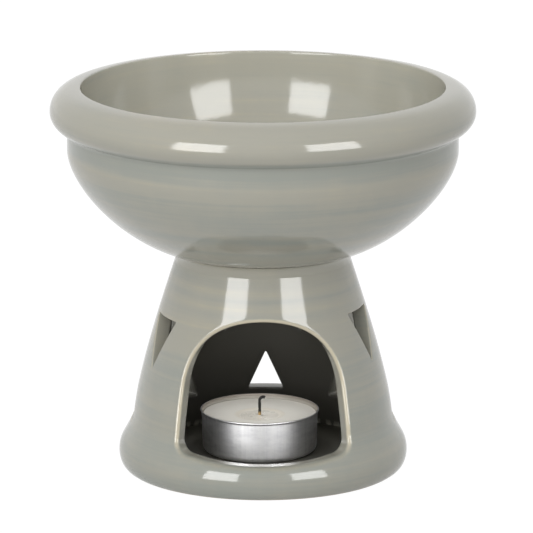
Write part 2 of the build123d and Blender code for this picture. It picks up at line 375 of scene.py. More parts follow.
def makeGlaze(name, rings, look=glazeLook):
    material, wire = newMaterial(name)
    place = wire.node("ShaderNodeTexCoord", output="Object")
    across, along, height = place.parts()
    ripple = ringWave(place, height, rings["pitch"] * mm)  # the same wave as the rings in the wall
    window = height.between(*(rings[level] * mm for level in ("low", "high", "gone")))
    strokes = place.noise((16.0, 16.0, 300.0), 4.0, 0.6)  # long level brush strokes
    hairs = place.noise((11.0, 11.0, 900.0), 2.0, 0.6)
    clouds = place.noise((22.0, 22.0, 75.0), 3.0, 0.55)
    drips = place.noise((170.0, 170.0, 14.0), 3.0, 0.6)
    tone = (strokes - 0.5) * 1.3 + (clouds - 0.5) * 1.1 + (drips - 0.5) * 0.5 + ripple * window * 0.3
    tone = tone + (hairs - 0.5) * 0.8
    facing = wire.node("ShaderNodeNewGeometry", output="Normal").parts()
    outside = (facing[0] * across + facing[1] * along).fade(-0.004, 0.004)
    for low, high, amount in rings["pools"]:  # bands on the outside where the glaze lies thicker and cooler
        band = height.fade((low - 2) * mm, low * mm) * (1 - height.fade(high * mm, (high + 2) * mm))
        tone = tone - band * outside * amount
    colour = tone.fade(0.0, 1.0).mix(look["sage"], look["thin"])
    colour = (-1.0 * tone).fade(0.0, 0.8).mix(colour, look["pooled"])
    broken, soot = (wire.node("ShaderNodeAttribute", None, {"attribute_name": kept}, "Fac")
                    for kept in ("brokenEdge", "soot"))
    ragged = broken + (place.noise(700.0, 3.0) - 0.5) * 0.5 * broken
    colour = ragged.fade(0.25, 0.95).mix(colour, look["edge"])
    cells = wire.node("ShaderNodeTexVoronoi", {"Vector": place, "Scale": 62.0})
    chosen = cells.also("Color").parts()[0].fade(0.74, 0.76)
    speck = (1 - cells.fade(0.018, 0.034)) * chosen
    colour = speck.mix(colour, look["speck"])
    bare = 1 - height.fade(0.25 * mm, 0.7 * mm)  # the ring under the foot is wiped clean
    colour = bare.mix(colour, look["clay"])
    # painted shade: darkens the glaze where the kept shade value is set, inside the chamber
    colour = soot.mix(colour, look["soot"])
    rough = look["gloss"] + (clouds - 0.5) * 0.06 + soot * 0.35 + bare * 0.6 + speck * 0.2
    peel = place.noise(420.0, 2.0) * 0.6 + place.noise(130.0, 1.0) - speck * 1.5
    closeMaterial(wire, {"Base Color": colour, "Roughness": rough, "Normal": peel.bump(0.12, 0.2)})
    return material


def thrownValues(look, seed, glazeName):  # the trees' inputs for a thrown wall
    rings = look["rings"]
    return {
        **{"Ring " + name.title(): rings[name] * mm for name in ("depth", "pitch", "low", "high", "gone")},
        "Wobble Depth": look["wobbleDepth"] * mm,
        "Wobble Scale": look["wobbleScale"],
        "Seed": seed,
        "Material": makeGlaze(glazeName, rings),
    }


latheTree = makeLatheTree()
thrownTree = makeThrownTree()
wickTree = makeWickTree()


# Bowl
bowlLook = {
    "footRadius": 29.0,
    "floor": 5.0,
    "bellyRadius": 62.75,
    "bellyHeight": 32.95,
    "undersideLean": 14.2,
    "undersideReach": 18.0,
    "bellyReach": 10.1,
    "bandHeight": 6.5,  # upright band under the rim
    "rimWidth": 7.7,
    "rimRise": 7.9,
    "rimTuck": 6.2,
    "grooveReach": 1.1,
    "shoulderRise": 7.66,  # height of the curve from the widest part up to the land
    "shoulderIn": 62.0,  # radius where the land begins
    "lipRadius": 0.5,
    "hollowTop": (57.93, 120.53),  # where the straight side under the lip ends
    "hollowLean": 4.5,
    "lipReach": 15.9,
    "hollowFootLean": 19.4,
    "hollowReach": 23.7,
    "floorRound": 3.0,
    "landReach": (1.4, 0.8, 0.03),  # pulls of the land's curve, and how far below the top it levels out
    "segments": 240,
    "rings": {"pitch": 5.4, "low": 73.0, "high": 82.0, "gone": 101.0, "depth": 0.012,
              "pools": [(106.0, 112.5, 0.6), (60.0, 99.0, 0.35)]},
    "wobbleDepth": 0.16,
    "wobbleScale": 38.0,
}


def slanted(point, lean, reach):  # a point up a slope of so many degrees
    return (point[0] + reach * cos(radians(lean)), point[1] + reach * sin(radians(lean)))


def makeBowl(look):
    base, top, rim = cadSize("bowl")
    foot = (look["footRadius"], base)
    belly = (look["bellyRadius"], base + look["bellyHeight"])
    neck = (belly[0], belly[1] + look["bandHeight"])
    width = look["rimWidth"]
    crest = (rim - width, top - look["rimRise"])
    neckAngle = degrees(acos((neck[0] - crest[0]) / width))
    side, lean = look["hollowTop"], look["hollowLean"]
    lipRadius, tilt = look["lipRadius"], radians(lean)
    lipZ = top - lipRadius
    lipX = side[0] + (lipZ - side[1]) * tan(tilt) + lipRadius / cos(tilt)
    lip = arc((lipX, lipZ), lipRadius, 90, 180 - lean, 10)  # ends along the hollow's side
    floorIn = look["floor"] * tan(radians(look["undersideLean"] / 2))
    floorEdge = (foot[0] - floorIn, base + look["floor"])
    reach = (look["shoulderIn"] - crest[0]) / width
    shoulder = arc(crest, (width, look["shoulderRise"]), 0, degrees(acos(reach)), 26)
    slope = look["shoulderRise"] / width * reach / sqrt(1 - reach ** 2)
    landLean = degrees(atan(slope))
    pullOut, pullIn, drop = look["landReach"]
    outline = joined(
        straight((0, base), foot, 8),
        bezier([foot, slanted(foot, look["undersideLean"], look["undersideReach"]),
                (belly[0], belly[1] - look["bellyReach"]), belly], 76),
        straight(belly, neck, 10),
        arc(crest, (width, look["rimTuck"]), -neckAngle, 0, 22),
        shoulder,
        bezier([shoulder[-1], slanted(shoulder[-1], 180 - landLean, pullOut),
                (lip[0][0] + pullIn, top - drop), lip[0]], 10),
        lip,
        straight(lip[-1], side, 6),
        bezier([side, slanted(side, -90 - lean, look["lipReach"]),
                slanted(floorEdge, look["hollowFootLean"], look["hollowReach"]), floorEdge], 72),
        straight(floorEdge, (0, floorEdge[1]), 10),
    )
    outline = softened(outline, neck, look["grooveReach"])
    outline = softened(outline, floorEdge, look["floorRound"])
    values = {"Segments": look["segments"], **thrownValues(look, 3.0, "bowl glaze")}
    return settle(outlineObject("bowl outline", outline), latheTree, values, "glazedBowl")


finishPiece(makeBowl(bowlLook), "burner", "glaze", "bowl")


# Stand: two skins in angle and height, holed, with rounded walls between the holes' rims
standLook = {
    "ringInside": 37.34,
    "ledgeHeight": 1.2,
    "ledgeRadius": 38.49,
    "floorTop": 4.5,
    "baseRadius": 43.5,
    "bellyHeight": 5.5,
    "footRound": 9.5,
    "crease": (42.2, 16.0),
    "creaseReach": 2.6,
    "coneSwell": (40.75, 31.3),
    "waist": 28.0,
    "wall": 4.8,
    "columns": 264,
    "rowStep": 0.85,
    "innerRowStep": 1.7,
    "seamAngle": 48.0,  # degrees from the arch, where the skins have no hole
    "innerRound": 0.7,
    "rings": {"pitch": 5.2, "low": 44.0, "high": 62.0, "gone": 73.0, "depth": 0.012,
              "pools": [(-10.0, 42.0, 0.45), (60.0, 80.0, 0.2)]},
    "wobbleDepth": 0.16,
    "wobbleScale": 38.0,
}
archLook = {
    "halfAngle": 40.8,
    "top": 55.4,
    "spring": 33.0,
    "sillHeight": 10.5,
    "sillRise": 1.5,
    "splay": 31.0,  # degrees that the sides turn away from straight ahead
    "sillShare": 0.75,
    "cornerHeight": 4.6,
    "edge": {"spread": 2.0, "depth": 1.5, "inset": 0.6, "broken": 1.0,
             "sillBroken": 0.45,  # how much of the beige is left along the sill
             "soot": 0.0},
}
ventLook = {
    "firstAngle": 69.0,
    "pitch": 44.4,
    # the last value of each size is the painted shade on its vents' cut faces
    "upper": {"width": 15.4, "flat": 53.7, "point": 36.9, "soot": 0.3},
    "lower": {"width": 11.5, "flat": 15.0, "point": 28.2, "soot": 0.7},
    "corner": 0.45,
    "upperLifts": {0: 0.85, 5: -1.75},  # cut by hand: the two beside the arch aren't level
    "backTurn": -1.4,
    "backLift": 0.7,
    "edge": {"spread": 0.7, "depth": 0.6, "inset": 0.2, "broken": 0.6, "sillBroken": 1.0},
}


def lookUp(value, xs, ys):
    place = min(max(bisect.bisect(xs, value) - 1, 0), len(xs) - 2)
    share = (value - xs[place]) / (xs[place + 1] - xs[place])
    return ys[place] + share * (ys[place + 1] - ys[place])


def lengthsAlong(points):
    lengths = [0.0]
    for first, second in zip(points, points[1:]):
        lengths.append(lengths[-1] + dist(first, second))
    return lengths


class Skin:  # a turned surface: radius by height, and length along its outline
    def __init__(self, outline):
        self.radii, self.heights = zip(*outline)
        self.lengths = lengthsAlong(outline)

    def radius(self, height):
        return lookUp(height, self.heights, self.radii)

    def length(self, height):
        return lookUp(height, self.heights, self.lengths)

    def height(self, length):
        return lookUp(length, self.lengths, self.heights)


def evenly(points, step):  # a closed loop with points at an even step
    closed = points + points[:1]
    lengths = lengthsAlong(closed)
    count = max(12, round(lengths[-1] / step))
    xs, ys = zip(*closed)
    spots = [lengths[-1] * i / count for i in range(count)]
    return [(lookUp(spot, lengths, xs), lookUp(spot, lengths, ys)) for spot in spots]


def archLoops(look, skins, sideRadius):  # (angle, height) of the arch on each skin
    sideWidth = sideRadius * sin(radians(look["halfAngle"]))
    sideDistance = sideRadius * cos(radians(look["halfAngle"]))
    splay = tan(radians(look["splay"]))
    middleWidth = sideWidth - sideDistance * splay  # half the cut's width over the axis
    sillHalf = sideWidth * look["sillShare"]
    sillEnd = look["sillHeight"] + look["sillRise"]
    cornerTop = sillEnd + look["cornerHeight"]
    corner = (sideWidth - sillHalf, look["cornerHeight"])
    sill = bezier([(-sillHalf, sillEnd), (0, 2 * look["sillHeight"] - sillEnd), (sillHalf, sillEnd)], 40)
    outline = joined(
        arc((0, look["spring"]), (sideWidth, look["top"] - look["spring"]), 0, 180, 90),
        straight((-sideWidth, look["spring"]), (-sideWidth, cornerTop), 20),
        arc((-sillHalf, cornerTop), corner, 180, 270, 24),
        sill,
        arc((sillHalf, cornerTop), corner, 270, 360, 24),
        straight((sideWidth, cornerTop), (sideWidth, look["spring"]), 20)[:-1],
    )
    loops = [[] for skin in skins]
    for x, z in evenly(outline, 0.5):
        share = x / sideWidth
        lean = hypot(1, share * splay)
        for skin, loop in zip(skins, loops):
            reach = asin(share * middleWidth / (skin.radius(z) * lean))
            loop.append((atan(share * splay) + reach, z))
    return loops


def neighbours(loop):  # each point of a closed loop, between the ones before and after it
    return zip(loop[-1:] + loop[:-1], loop, loop[1:] + loop[:1])


def ventOutline(size, corner):  # (sideways, height) of a triangle with rounded corners
    ends = [(-size["width"] / 2, size["flat"]), (size["width"] / 2, size["flat"]), (0, size["point"])]
    outline = []
    for before, here, after in neighbours(ends):
        first = Vector(here).lerp(before, corner / dist(here, before) * 1.6)
        last = Vector(here).lerp(after, corner / dist(here, after) * 1.6)
        outline += bezier([first, here, last], 8)
    points = evenly(outline, 0.5)
    turning = sum(a[0] * b[1] - b[0] * a[1] for a, b in zip(points, points[1:] + points[:1]))
    return points if turning > 0 else points[::-1]


def pushedOut(loop, reach):  # the loop, moved outwards on the skin
    moved = []
    for before, here, after in neighbours(loop):
        way = Vector((after[1] - before[1], before[0] - after[0])).normalized()
        moved.append((here[0] + way.x * reach, here[1] + way.y * reach))
    return moved


def makeHoles(outer, inner):  # each hole: its loops on the outer and inner skins, and its edge
    crease, swell = standLook["crease"], standLook["coneSwell"]
    lean = (crease[0] - swell[0]) / (swell[1] - crease[1])
    sideHeight = (archLook["sillHeight"] + archLook["spring"]) / 2
    sideRadius = crease[0] - lean * (sideHeight - crease[1])  # of the cone, beside the arch
    holes = [(*archLoops(archLook, (outer, inner), sideRadius), archLook["edge"])]

    def addVent(size, degreesRound, lift):
        middle = radians(degreesRound)
        sides = [[], []]
        for x, z in ventOutline(size, ventLook["corner"]):
            for skin, side in zip((outer, inner), sides):
                side.append((middle + asin(x / skin.radius(z + lift)), z + lift))
        holes.append((*sides, dict(ventLook["edge"], soot=size["soot"])))

    first, pitch = ventLook["firstAngle"], ventLook["pitch"]
    for step in range(6):
        addVent(ventLook["upper"], first + pitch * step, ventLook["upperLifts"].get(step, 0.0))
    for step in range(5):
        turn, lift = (ventLook["backTurn"], ventLook["backLift"]) if step == 2 else (0.0, 0.0)
        addVent(ventLook["lower"], first + pitch * (step + 0.5) + turn, lift)
    return holes


def insideLoop(points, loop):  # which of the points lie in the loop
    inside = np.zeros(len(points), bool)
    ends = np.roll(loop, -1, axis=0)
    for (x0, y0), (x1, y1) in zip(loop, ends):
        crosses = (y0 > points[:, 1]) != (y1 > points[:, 1])
        if y0 != y1:
            inside ^= crosses & (points[:, 0] < (x1 - x0) * (points[:, 1] - y0) / (y1 - y0) + x0)
    return inside


def skinMesh(skin, loops, rowStep, columnStep, look):
    # triangles between a grid of points and the holes' rims, as (angle, height) points and faces
    columns, seam, reference = look["columns"], radians(look["seamAngle"]), look["crease"][0]
    start = seam - tau
    last = skin.lengths[-1]
    rows = max(2, round(last / rowStep))
    flat = []
    for row in range(rows + 1):
        up = last * row / rows
        onRim = row in (0, rows)
        for column in range(0, columns + 1, 1 if onRim else columnStep):
            nudge = 0.5 * columnStep if row % 2 and 0 < column < columns - columnStep and not onRim else 0
            flat.append(((start + tau * (column + nudge) / columns) * reference, up))
    flat = np.array(flat)
    keep = np.ones(len(flat), bool)
    rims = []
    for loop in loops:
        middle = sum(angle for angle, height in loop) / len(loop)
        turns = -tau if middle > seam else 0.0
        rim = np.array([((angle + turns) * reference, skin.length(height)) for angle, height in loop])
        rims.append(rim)
        keep &= ~insideLoop(flat, rim)
        gaps = np.sqrt(((flat[:, None, :] - rim[None]) ** 2).sum(2)).min(1)
        keep &= gaps > 0.6 * min(rowStep, 0.9)
    points = flat[keep].tolist()
    edges = []
    for rim in rims:
        first = len(points)
        points += rim.tolist()
        edges += [(first + i, first + (i + 1) % len(rim)) for i in range(len(rim))]
    found = delaunay_2d_cdt([Vector(p) for p in points], edges, [], 0, 1e-7)
    source = [ids[0] for ids in found[3]]
    faces = [[source[v] for v in face] for face in found[2]]
    centres = np.array([np.mean([points[v] for v in face], axis=0) for face in faces])
    hole = np.zeros(len(faces), bool)
    for rim in rims:
        hole |= insideLoop(centres, rim)
    faces = [face for face, gone in zip(faces, hole) if not gone]
    return [(x / reference, skin.height(s)) for x, s in points], faces


class Shell:  # the stand's points with their broken glaze and painted shade, and its faces
    def __init__(self):
        self.spots, self.broken, self.soot, self.faces = [], [], [], []

    def add(self, angle, height, radius, broken=0.0, soot=0.0):
        self.spots.append((radius * sin(angle) * mm, -radius * cos(angle) * mm, height * mm))
        self.broken.append(broken)
        self.soot.append(soot)
        return len(self.spots) - 1

    def stitch(self, rings):  # faces from each ring of points to the next
        for here, after in zip(rings, rings[1:]):
            for i in range(len(here) - 1):
                self.faces.append((here[i], here[i + 1], after[i + 1], after[i]))


def rimLoop(hole, share, reach):  # a hole's rim at a share of the wall's depth, moved outwards
    reference = standLook["crease"][0]
    middle = sum(angle for angle, height in hole[0]) / len(hole[0])
    loop = []
    for (outAngle, height), (inAngle, same) in zip(hole[0], hole[1]):
        loop.append(((outAngle + (inAngle - outAngle) * share - middle) * reference, height))
    return [(x / reference + middle, z) for x, z in pushedOut(loop, reach)]


def addSkin(shell, skin, holes, share, rowStep, columnStep, look):  # share: 0 outside, 1 inside
    loops = []
    for hole in holes:
        reach = look["innerRound"] if share else hole[2]["spread"] - hole[2]["inset"]
        loops.append(rimLoop(hole, share, reach))
    flat, faces = skinMesh(skin, loops, rowStep, columnStep, look)
    first = len(shell.spots)
    # painted shade: the inside skin is darkened fully, the outside not at all
    for angle, height in flat:
        shell.add(angle, height, skin.radius(height), 0.0, share)
    for face in faces:
        turned = [first + v for v in face]
        shell.faces.append(turned[::-1] if share else turned)


def edgeSteps(edge, look):  # rings of a hole's rounded wall: reach outwards, depth, broken glaze, painted shade
    steps = []
    wall, back, depth, holeShade = look["wall"], look["innerRound"], edge["depth"], edge["soot"]
    # painted shade on the hole's cut face, at least this much at its inner edge
    leastShade = max(holeShade, 0.15)  # at the inner edge
    for turn in range(0, 91, 10):
        angle = radians(turn)
        broken = edge["broken"] * sin(radians(turn * 1.8 + 9)) ** 1.3 if turn < 90 else 0.0
        steps.append((edge["spread"] * (1 - sin(angle)), depth * (1 - cos(angle)), broken, 0.0))
    for part in range(1, 4):
        steps.append((0.0, depth + (wall - depth - back) * part / 4, 0.0, holeShade * part / 3))
    for turn in range(90, -1, -18):
        angle = radians(turn)
        dark = leastShade + (1 - leastShade) * (1 - turn / 90)
        steps.append((back * (1 - sin(angle)), wall - back * (1 - cos(angle)), 0.0, dark))
    return steps


def addHoleWall(shell, hole, outer, inner, look):  # ring by ring from the outside to the inside
    edge, rings = hole[2], []
    for reach, depth, broken, dark in edgeSteps(edge, look):
        share = depth / look["wall"]
        ring = []
        for angle, height in rimLoop(hole, share, reach - edge["inset"] * (1 - share)):
            radius = outer.radius(height) + (inner.radius(height) - outer.radius(height)) * share
            climb = min(max((height - archLook["sillHeight"] - 2) / 5, 0), 1)  # from the sill up the sides
            beige = broken * (edge["sillBroken"] + (1 - edge["sillBroken"]) * climb)
            ring.append(shell.add(angle, height, radius, beige, dark))
        rings.append(ring + ring[:1])
    shell.stitch(rings)


def standSkins(look, top, foot):
    base, curve, belly = look["baseRadius"], look["footRound"], look["bellyHeight"]
    crease, swell, wall = look["crease"], look["coneSwell"], look["wall"]
    footCentre = (foot - curve, belly)
    run, rise = crease[0] - footCentre[0], crease[1] - footCentre[1]
    footArc = arc(footCentre, curve, 0, degrees(atan2(rise, run) - acos(curve / hypot(run, rise))), 16)
    outerLine = joined(
        arc((base, belly), (foot - base, belly), 270, 360, 14),
        footArc,
        straight(footArc[-1], crease, 6),
        bezier([crease, swell, (look["waist"], top)], 60),
    )
    outerLine = softened(outerLine, crease, look["creaseReach"])
    floorEdge = (look["ledgeRadius"], look["floorTop"])
    innerLine = bezier([floorEdge, (swell[0] - wall, swell[1]), (look["waist"] - wall, top)], 50)
    return Skin(outerLine), Skin(innerLine)


def weld(mesh):  # closes the seams between the parts of one mesh
    work = bmesh.new()
    work.from_mesh(mesh)
    bmesh.ops.remove_doubles(work, verts=work.verts, dist=2e-6)
    bmesh.ops.recalc_face_normals(work, faces=work.faces)
    openEdges = sum(1 for edge in work.edges if len(edge.link_faces) != 2)
    print("stand wall:", len(work.faces), "faces,", openEdges, "open edges")
    work.to_mesh(mesh)
    work.free()


def makeStand(look):
    ground, top, foot = cadSize("stand")
    outer, inner = standSkins(look, top, foot)
    holes = makeHoles(outer, inner)
    shell = Shell()
    addSkin(shell, outer, holes, 0.0, look["rowStep"], 1, look)
    addSkin(shell, inner, holes, 1.0, look["innerRowStep"], 2, look)
    for hole in holes:
        addHoleWall(shell, hole, outer, inner, look)

    # the ring under the foot, the ledge for the base disc and the flat top
    inside, ledge, step = look["ringInside"], look["ledgeRadius"], look["ledgeHeight"]
    under = [(look["baseRadius"], 0.0), (inside, 0.0), (inside, step), (ledge, step),
             (ledge, look["floorTop"])]
    over = [(look["waist"] - look["wall"], top), (look["waist"], top)]
    seam, columns = radians(look["seamAngle"]), look["columns"]
    turns = [seam - tau + tau * i / columns for i in range(columns + 1)]
    for strip in (under[::-1], over):
        shell.stitch([[shell.add(turn, height, radius) for turn in turns] for radius, height in strip])

    wall = meshObject("stand wall", shell.spots, (), shell.faces)
    keepValues(wall.data, "brokenEdge", shell.broken)
    keepValues(wall.data, "soot", shell.soot)
    weld(wall.data)
    return settle(wall, thrownTree, thrownValues(look, 5.0, "stand glaze"), "glazedStand")


finishPiece(makeStand(standLook), "burner", "glaze", "stand")


def blacken(piece, rule):  # painted shade darkening a piece, by the place of each point in millimetres
    keepValues(piece.data, "soot", [rule(*(point.co / mm)) for point in piece.data.vertices])


# Base disc inside the stand, and the seam of slip between stand and bowl
discLook = {"edge": 0.6, "crown": 0.15, "wobbleDepth": 0.12}
seamLook = {"inside": 23.2, "down": 2.8, "out": 1.6}


def plainGlaze(name):  # the glaze without finger rings
    return makeGlaze(name, {"pitch": 5.0, "low": 200.0, "high": 210.0, "gone": 220.0, "pools": []})


def makeBaseDisc(look):
    base, top, rim = cadSize("base_disc")
    edge = look["edge"]
    flat = rim - edge
    outline = joined(
        straight((0, base), (flat, base), 24),
        arc((flat, base + edge), edge, 270, 360, 5),
        arc((flat, top - edge), edge, 0, 90, 5),
        bezier([(flat, top), (rim / 2, top), (0, top - look["crown"])], 24),
    )
    values = {"Segments": 160, "Wobble Depth": look["wobbleDepth"] * mm, "Seed": 7.0,
              "Material": plainGlaze("disc glaze")}
    disc = settle(outlineObject("disc outline", outline), latheTree, values, "baseDisc")
    # painted shade on the disc's top, deep inside the chamber
    blacken(disc, lambda x, y, z: 0.9 if z > (base + top) / 2 else 0.0)
    return disc


def makeSeam(look):
    base, top, rim = cadSize("slip_seam")
    waist, foot, inside = standLook["waist"], bowlLook["footRadius"], look["inside"]
    under = (waist + look["down"] * 0.325 - 0.3, base - look["down"])  # down into the cone's side
    over = (foot + look["out"], top + look["out"] * 0.26)  # out under the bowl
    outline = joined(
        straight((inside, base), (waist - 1.5, base), 4),
        bezier([(waist - 1.5, base), (waist - 0.4, base), under], 6),
        bezier([under, (waist + 0.05, base - 0.2), (foot - 0.6, top - 0.1), over], 24),
        bezier([over, (foot - 0.4, top), (foot - 1.5, top)], 6),
        straights([(foot - 1.5, top), (inside, top), (inside, base)], (4, 4)),
    )
    values = {"Segments": 200, "Wobble Depth": 0.12 * mm, "Wobble Scale": 60.0, "Seed": 9.0,
              "Material": plainGlaze("seam glaze")}
    seam = settle(outlineObject("seam outline", outline), latheTree, values, "slipSeam")
    # painted shade on the seam's hidden inner face
    blacken(seam, lambda x, y, z: 1.0 if hypot(x, y) < inside + 1 else 0.0)
    return seam


finishPiece(makeBaseDisc(discLook), "burner", "glaze", "base_disc")
finishPiece(makeSeam(seamLook), "burner", "glaze", "slip_seam")


# Tealight: a pressed cup, the wax in it, the wick and its tab, with heights above the cup's underside
cupLook = {
    "bead": 0.4,  # as in the CAD, which sets the cup's radius
    "rolled": 0.26,  # the bead as it is pressed
    "taper": 0.45,
    "corner": 2.6,
    "pressedCorner": 1.9,
    "wall": 0.3,
    "flutes": 96,
    "fluteDepth": 0.012,
    "foil": sRgb(246, 246, 246),
    "scuffed": sRgb(214, 214, 216),
    "filmAndShade": sRgb(164, 155, 145),  # darker toward the rim: painted shade on the inside, which also has a thin film of wax
    "litFilm": sRgb(210, 205, 195),  # lighter where it meets the wax: the lit end of the painted shade
}
waxLook = {
    "gap": 0.3,
    "dish": 0.5,
    "poolRadius": 7.5,
    "poolDepth": 0.4,
    "meniscus": 0.35,
    "wax": sRgb(234, 231, 222),
    "clear": sRgb(222, 213, 195),  # where it has melted and set again
}
wickLook = {
    "radius": 0.5,
    "stem": 5.0,
    "hook": 1.2,
    "hookAngle": 118.0,
    "strands": 4,
    "strandDepth": 0.16,
    "twists": 7.0,
    "charred": sRgb(24, 22, 20),
    "ash": sRgb(62, 57, 51),
    "waxed": sRgb(206, 172, 110),
}
tabLook = {
    "thickness": 0.25,
    "neckWall": 0.6,
    "clearance": 0.05,
    "neckHeight": 3.0,
    "tin": sRgb(176, 176, 172),
}
cupLow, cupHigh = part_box("candle_cup")
candleAxis = ((cupLow.x + cupHigh.x) / 2, (cupLow.y + cupHigh.y) / 2, cupLow.z)  # in metres
cupHeight = (cupHigh.z - cupLow.z) / mm
cupRadius = (cupHigh.x - cupLow.x) / 2 / mm - cupLook["bead"]
waxEdge = (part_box("candle_wax")[1].z - cupLow.z) / mm
waxMiddle = waxEdge - waxLook["dish"] - waxLook["poolDepth"]
tabTop = cupLook["wall"] + tabLook["thickness"]
neckTop = tabTop + tabLook["neckHeight"]
neckBore = wickLook["radius"] + tabLook["clearance"]
neckOutside = neckBore + tabLook["neckWall"]
tabLow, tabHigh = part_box("wick_tab")
tabRadius = (tabHigh.x - tabLow.x) / 2 / mm


def candleWire(name):  # a material with coordinates about the candle's own axis
    material, wire = newMaterial(name)
    return material, wire, wire.node("ShaderNodeTexCoord", output="Object").vector("SUBTRACT", candleAxis)


def makeFoil():
    material, wire, local = candleWire("pressed foil")
    across, along, height = local.parts()
    drawn = local.noise((330.0, 330.0, 9.0), 4.0, 0.65)  # upright lines from drawing the cup
    broad = local.noise((60.0, 60.0, 12.0), 2.0)
    scuff = local.noise((150.0, 150.0, 420.0), 3.0, 0.7)
    colour = (drawn * 0.6 + scuff * 0.5).fade(0.4, 0.75).mix(cupLook["foil"], cupLook["scuffed"])
    facing = wire.node("ShaderNodeNewGeometry", output="Normal").parts()
    filmAndShade = 1 - (facing[0] * across + facing[1] * along).fade(-0.012, 0.0)  # on the inside only
    # painted shade: the inside is darker toward the rim and lighter near the wax; the film also dulls the
    # metal
    level = height.fade(waxEdge * mm, (cupHeight - 0.3) * mm)
    colour = filmAndShade.mix(colour, level.mix(cupLook["litFilm"], cupLook["filmAndShade"]))
    rough = 0.48 + (drawn - 0.5) * 0.16 + (scuff - 0.5) * 0.1
    lines = (drawn * 0.7 + broad).bump(0.35, 0.2)
    metal = 1 - filmAndShade * 0.8
    closeMaterial(wire, {"Base Color": colour, "Metallic": metal, "Roughness": rough, "Normal": lines})
    return material


def makeWaxFinish():
    material, wire, local = candleWire("paraffin wax")
    across, along, height = local.parts()
    radius = (across * across + along * along) ** 0.5
    cloud = local.noise(220.0, 4.0, 0.6)
    pool = 1 - (radius + (cloud - 0.5) * 0.0006).fade(0.0060, 0.0082)
    rim = radius.fade(0.0060, 0.0073) * (1 - radius.fade(0.0075, 0.0088))
    colour = (pool * 0.3 + rim * 0.4 + (cloud - 0.5) * 0.3).mix(waxLook["wax"], waxLook["clear"])
    rough = 0.42 - pool * 0.14 + (cloud - 0.5) * 0.15
    grain = (local.noise(900.0, 3.0) * 0.3 + cloud).bump(0.08, 0.2)
    closeMaterial(wire, {"Base Color": colour, "Roughness": rough, "Normal": grain})
    return material


def makeWickFinish():
    material, wire, local = candleWire("charred wick")
    height = local.parts()[2]
    level = height + (local.noise(900.0, 2.0) - 0.5) * 0.0008
    burnt = level.fade((waxMiddle + 0.5) * mm, (waxMiddle + 1.7) * mm)
    crust = local.noise(2600.0, 3.0, 0.7)
    dark = crust.fade(0.55, 0.8).mix(wickLook["charred"], wickLook["ash"])
    colour = burnt.mix(wickLook["waxed"], dark)
    rough = 0.5 + burnt * 0.35
    closeMaterial(wire, {"Base Color": colour, "Roughness": rough, "Normal": crust.bump(0.6, 0.1)})
    return material


def makeTin():
    material, wire, local = candleWire("tinned tab")
    brushed = local.noise((2400.0, 160.0, 160.0), 3.0)
    colour = brushed.fade(0.3, 0.75).mix(tabLook["tin"], cupLook["scuffed"])
    rough = 0.3 + brushed * 0.15
    values = {"Base Color": colour, "Metallic": 1.0, "Roughness": rough, "Normal": brushed.bump(0.2, 0.1)}
    closeMaterial(wire, values)
    return material


def turnedCandlePiece(name, outline, material, values):
    settings = {"Segments": 192, "Axis": candleAxis, "Material": material, **values}
    return settle(outlineObject(name + " outline", outline), latheTree, settings, name)


def makeCup(look):
    low = cupRadius - look["taper"]
    corner, wall, bead = look["pressedCorner"], look["wall"], look["rolled"]
    flat = low - corner
    rolled = arc((cupRadius, cupHeight - bead), bead, -100, 150, 18)
    outline = joined(
        straight((0, 0), (flat, 0), 12),
        arc((flat, corner), corner, 270, 360, 12),
        straight((low, corner), rolled[0], 24),
        rolled,
        straight(rolled[-1], (low - wall, corner), 24),
        arc((flat, corner), corner - wall, 0, -90, 8),
        straight((flat, wall), (0, wall), 12),
    )
    values = {"Flutes": look["flutes"], "Flute Depth": look["fluteDepth"] * mm, "Segments": 288,
              "Wobble Depth": 0.05 * mm, "Wobble Scale": 120.0, "Seed": 2.0}
    return turnedCandlePiece("pressedCup", outline, makeFoil(), values)


def makeWax(look):
    wall, gap = cupLook["wall"], look["gap"]
    low = cupRadius - cupLook["taper"] - wall - gap
    sideHeight = cupHeight - cupLook["bead"] - cupLook["corner"]
    high = low + cupLook["taper"] * (waxEdge - cupLook["corner"]) / sideHeight
    corner = cupLook["corner"] + gap
    spare = tabLook["clearance"]
    neck, edge = neckOutside + spare, tabRadius + spare
    roof, ledge = neckTop + spare, tabTop + spare
    poolEdge, pool, brim = waxEdge - look["dish"], look["poolRadius"], waxEdge - look["meniscus"]
    shelf, poolRim = (high - 3.0, brim - 0.05), (pool + 0.5, poolEdge + 0.06)
    poolFloor, wickFoot = (pool - 1.2, waxMiddle + 0.08), (1.4, waxMiddle)
    collar = (neckBore, waxMiddle + 0.3)  # a little wax climbs the wick
    underside = [(neckBore, waxMiddle), (neckBore, roof), (neck, roof), (neck, ledge), (edge, ledge),
                 (edge, wall), (low - corner, wall)]
    outline = joined(
        straights(underside, (6, 2, 4, 6, 2, 8)),
        arc((low - corner, wall + corner), corner, 270, 360, 10),
        straight((low, wall + corner), (high, waxEdge), 10),
        bezier([(high, waxEdge), (high - 0.5, brim), shelf], 10),
        bezier([shelf, (high - 6.0, poolEdge + 0.1), poolRim], 20),
        bezier([poolRim, (pool - 0.3, poolEdge + 0.05), poolFloor], 10),
        bezier([poolFloor, (3.0, waxMiddle - 0.08), wickFoot], 14),
        bezier([wickFoot, (neckBore + 0.1, waxMiddle + 0.02), collar], 6),
        straight(collar, (neckBore, waxMiddle), 1),
    )
    values = {"Wobble Depth": 0.06 * mm, "Wobble Scale": 120.0, "Seed": 4.0}
    return turnedCandlePiece("waxFill", outline, makeWaxFinish(), values)


